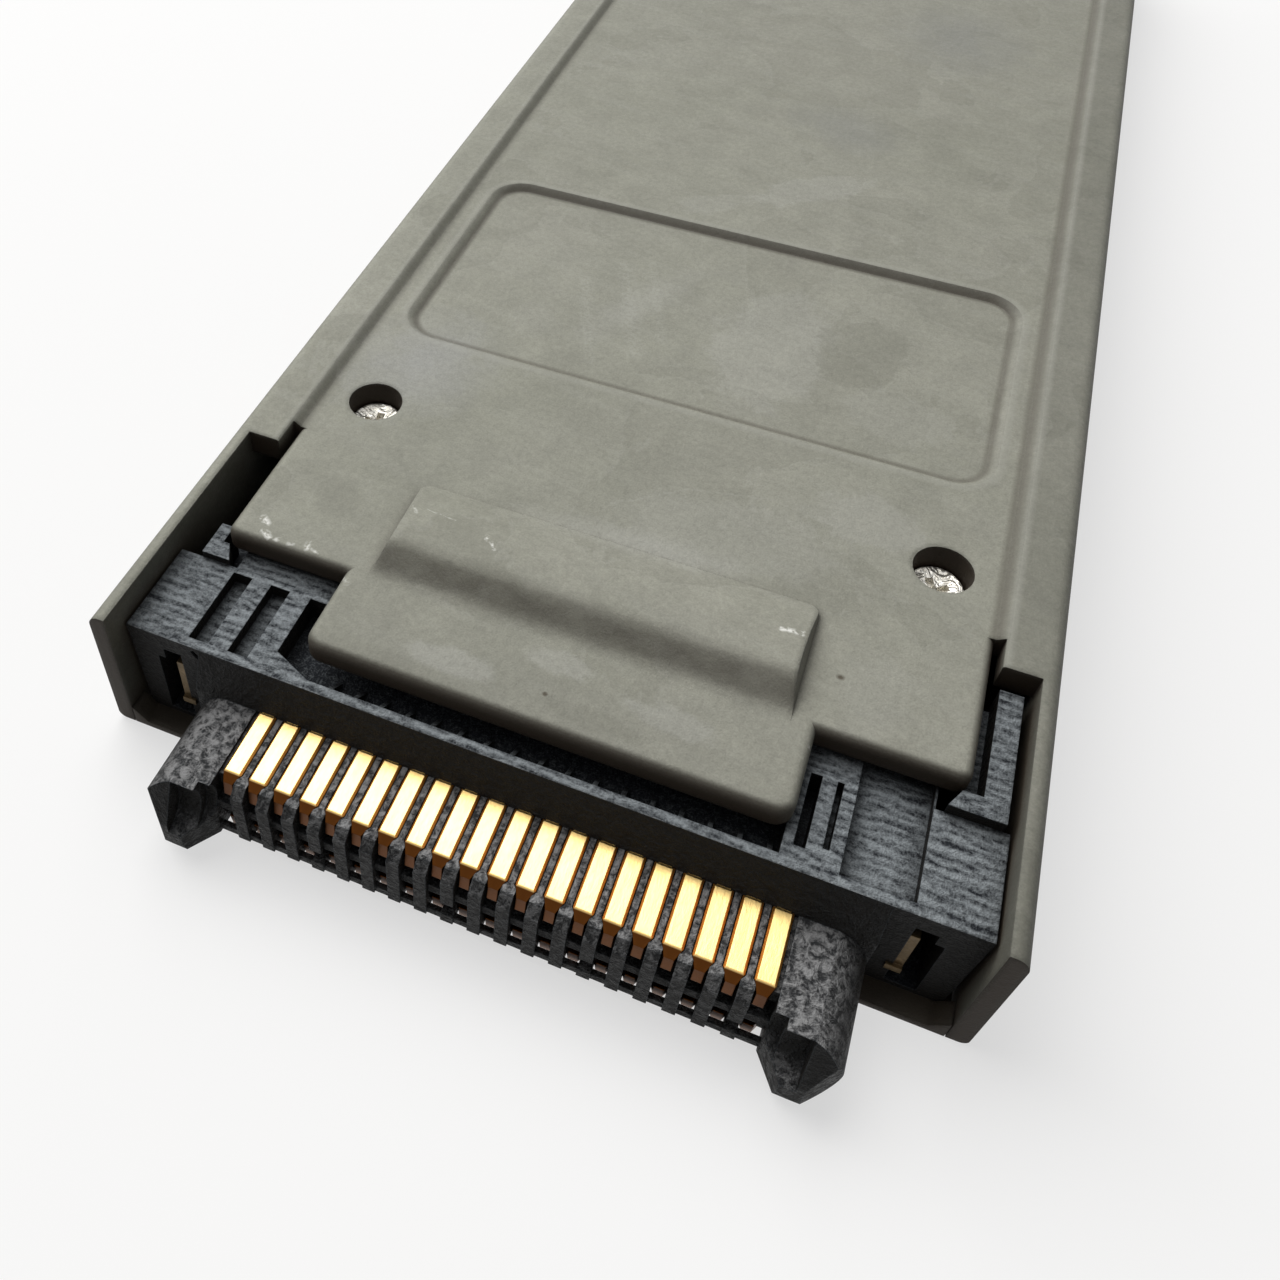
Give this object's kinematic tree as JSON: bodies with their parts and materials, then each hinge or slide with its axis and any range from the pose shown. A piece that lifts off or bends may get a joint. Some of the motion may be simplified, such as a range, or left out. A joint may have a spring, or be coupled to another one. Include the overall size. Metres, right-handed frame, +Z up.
{
  "type": "solid state drive cartridge",
  "caption": "Flat metal drive cartridge with side rails, a sunk label panel and a black edge plug with gold contacts between two guide horns.",
  "frame": {"origin": "centre of the underside's box, on the surface it rests on", "axes": "+Z up through the label panel, +Y from the plug towards the closed rear end, +X to the right when the plug faces the viewer"},
  "size_m": [0.0418, 0.1154, 0.0087],
  "materials": {
    "case_metal": "matt grey-olive coat over a casting",
    "black_plastic": "black moulding with a grained top",
    "contact_gold": "gold plate",
    "strip_brass": "dull brass",
    "screw_nickel": "bright nickel",
    "board_green": "solder resist",
    "chip_black": "moulded package",
    "pad_grey": "soft thermal pad",
    "ferrite_grey": "dull ferrite",
    "capacitor_amber": "moulded case"
  },
  "bodies": {
    "root": {"top_cover": "case_metal", "bottom_cover": "case_metal", "connector_housing": "black_plastic", "upper_contact_01": "contact_gold", "upper_contact_02": "contact_gold", "upper_contact_03": "contact_gold", "upper_contact_04": "contact_gold", "upper_contact_05": "contact_gold", "upper_contact_06": "contact_gold", "upper_contact_07": "contact_gold", "upper_contact_08": "contact_gold", "upper_contact_09": "contact_gold", "upper_contact_10": "contact_gold", "upper_contact_11": "contact_gold", "upper_contact_12": "contact_gold", "upper_contact_13": "contact_gold", "upper_contact_14": "contact_gold", "upper_contact_15": "contact_gold", "upper_contact_16": "contact_gold", "upper_contact_17": "contact_gold", "upper_contact_18": "contact_gold", "upper_contact_19": "contact_gold", "upper_contact_20": "contact_gold", "lower_contact_01": "contact_gold", "lower_contact_02": "contact_gold", "lower_contact_03": "contact_gold", "lower_contact_04": "contact_gold", "lower_contact_05": "contact_gold", "lower_contact_06": "contact_gold", "lower_contact_07": "contact_gold", "lower_contact_08": "contact_gold", "lower_contact_09": "contact_gold", "lower_contact_10": "contact_gold", "lower_contact_11": "contact_gold", "lower_contact_12": "contact_gold", "lower_contact_13": "contact_gold", "lower_contact_14": "contact_gold", "lower_contact_15": "contact_gold", "lower_contact_16": "contact_gold", "lower_contact_17": "contact_gold", "lower_contact_18": "contact_gold", "lower_contact_19": "contact_gold", "lower_contact_20": "contact_gold", "ground_strip_left": "strip_brass", "ground_strip_right": "strip_brass", "case_screws": "screw_nickel", "circuit_board": "board_green", "controller": "chip_black", "cache_memory": "chip_black", "controller_pad": "pad_grey", "flash_pad": "pad_grey", "power_inductor": "ferrite_grey", "power_regulator": "chip_black", "holdup_capacitor_1": "capacitor_amber", "holdup_capacitor_2": "capacitor_amber", "flash_package_1": "chip_black", "flash_package_2": "chip_black", "flash_package_3": "chip_black", "flash_package_4": "chip_black"}
  },
  "joints": []
}
